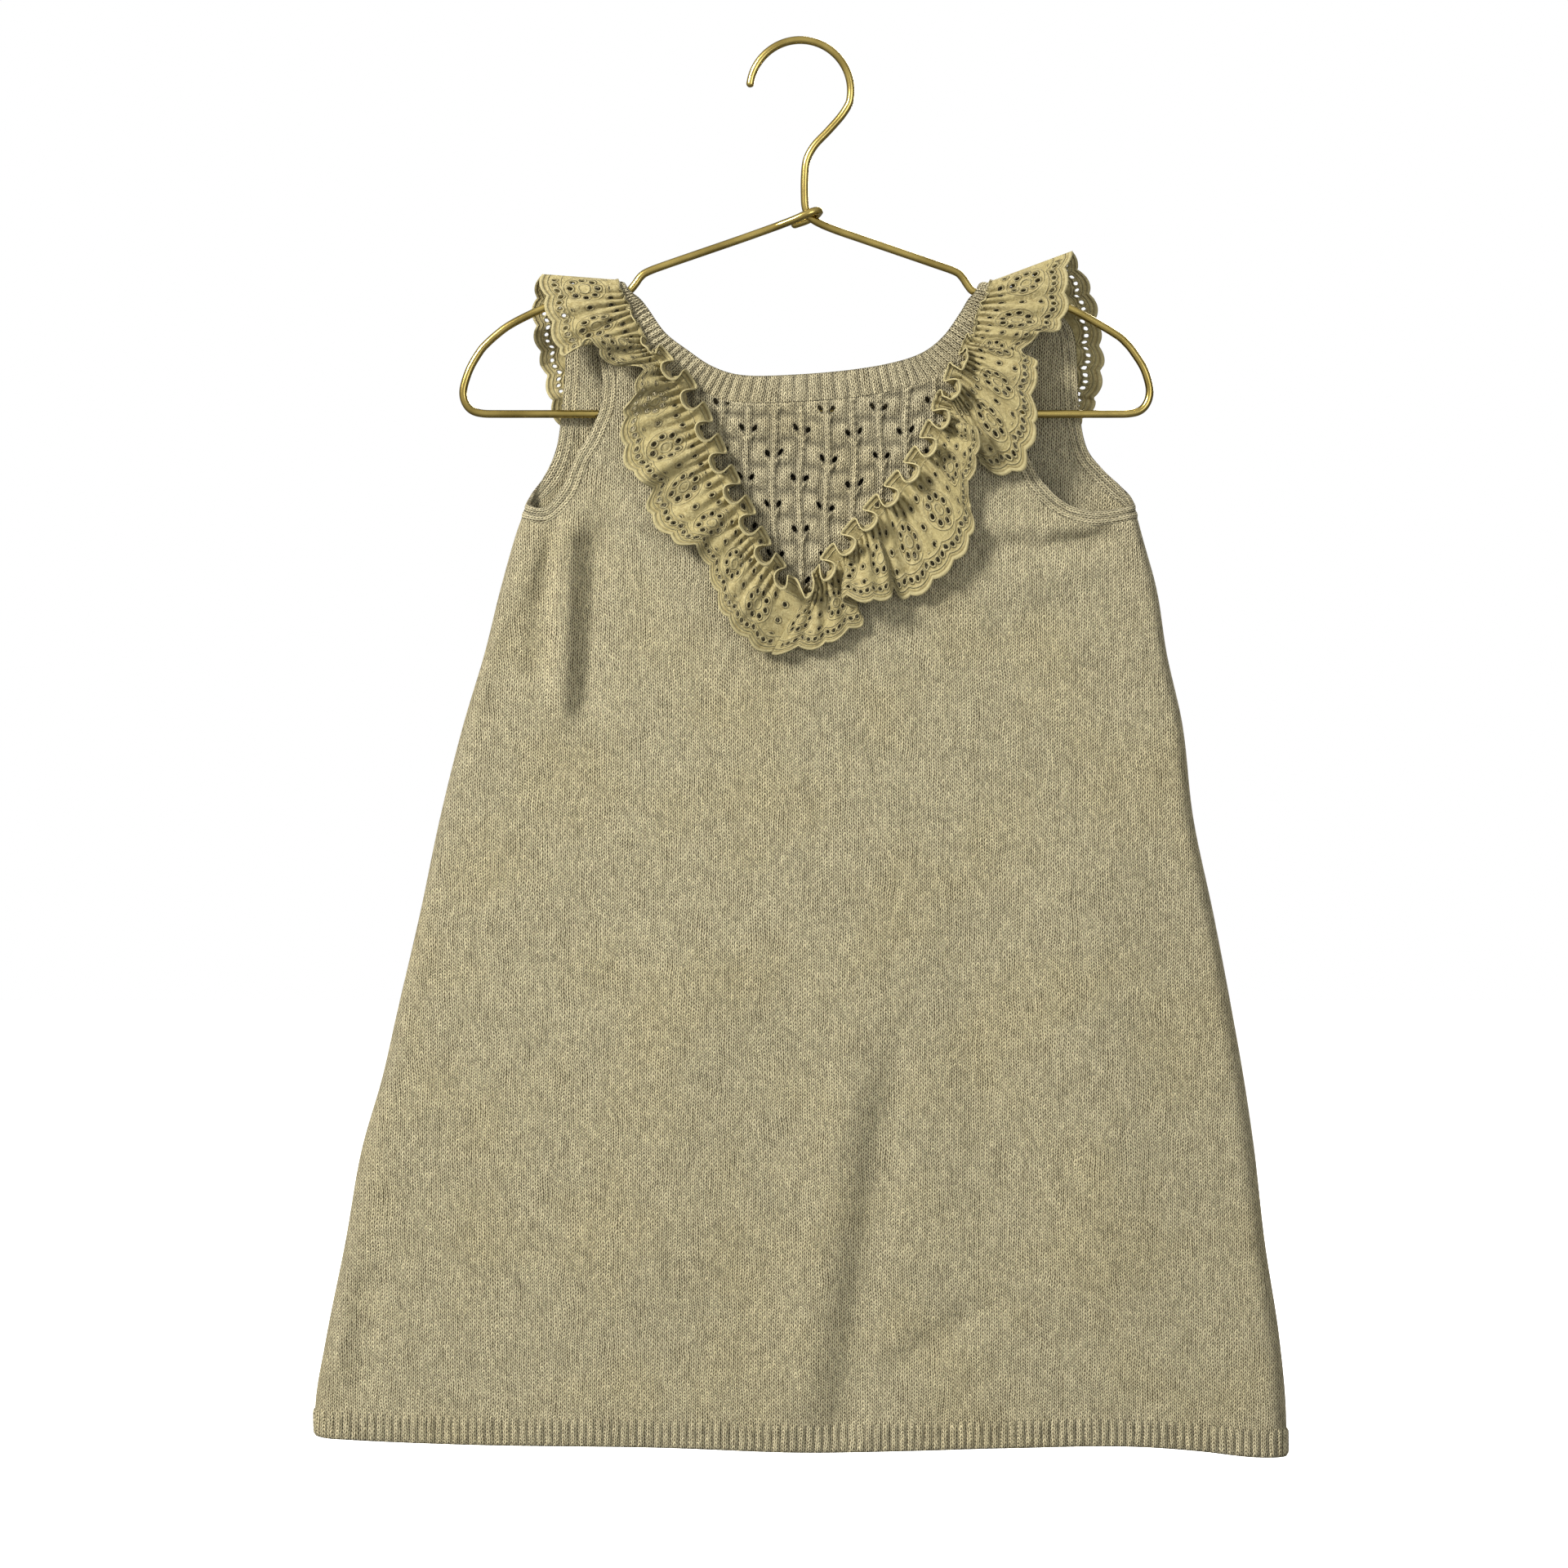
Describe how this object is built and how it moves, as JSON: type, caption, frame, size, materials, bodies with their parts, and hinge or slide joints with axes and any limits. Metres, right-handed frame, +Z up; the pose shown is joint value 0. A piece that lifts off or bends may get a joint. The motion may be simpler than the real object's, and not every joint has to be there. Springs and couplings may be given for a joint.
{
  "type": "knit dress on wire hanger",
  "caption": "Sleeveless A-line knit dress with a lace V yoke, gathered eyelet flounces over the shoulders and ribbed edges, hung flat on a wire hanger.",
  "frame": {"origin": "inside top of the hanger's hook, where a rail holds it", "axes": "+X across the dress, to the right as seen from the front; +Y from the front of the dress to its back; +Z up"},
  "size_m": [0.429, 0.0409, 0.6254],
  "materials": {
    "front_knit": "slubbed cotton stocking stitch, khaki with pale flecks",
    "back_knit": "slubbed cotton stocking stitch, khaki with pale flecks",
    "lace_knit": "lace knit with raised leaves",
    "hem_front": "one-by-one rib",
    "hem_back": "one-by-one rib",
    "neck_front": "one-by-one rib",
    "neck_back": "one-by-one rib",
    "armhole_band_front_left_knit": "narrow knitted band",
    "armhole_band_front_right_knit": "narrow knitted band",
    "armhole_band_back_left_knit": "narrow knitted band",
    "armhole_band_back_right_knit": "narrow knitted band",
    "eyelet_front_left": "eyelet cotton with a scalloped, stitched edge",
    "eyelet_front_right": "eyelet cotton with a scalloped, stitched edge",
    "eyelet_back_left": "eyelet cotton with a scalloped, stitched edge",
    "eyelet_back_right": "eyelet cotton with a scalloped, stitched edge",
    "brass_wire": "satin gold-coloured wire"
  },
  "bodies": {
    "root": {"front_body": "front_knit", "back_body": "back_knit", "front_yoke": "lace_knit", "hem_rib_front": "hem_front", "hem_rib_back": "hem_back", "neck_rib_front": "neck_front", "neck_rib_back": "neck_back", "armhole_band_front_left": "armhole_band_front_left_knit", "armhole_band_front_right": "armhole_band_front_right_knit", "armhole_band_back_left": "armhole_band_back_left_knit", "armhole_band_back_right": "armhole_band_back_right_knit", "flounce_front_left": "eyelet_front_left", "flounce_front_right": "eyelet_front_right", "flounce_back_left": "eyelet_back_left", "flounce_back_right": "eyelet_back_right", "hanger_frame": "brass_wire", "hanger_hook": "brass_wire"}
  },
  "joints": []
}
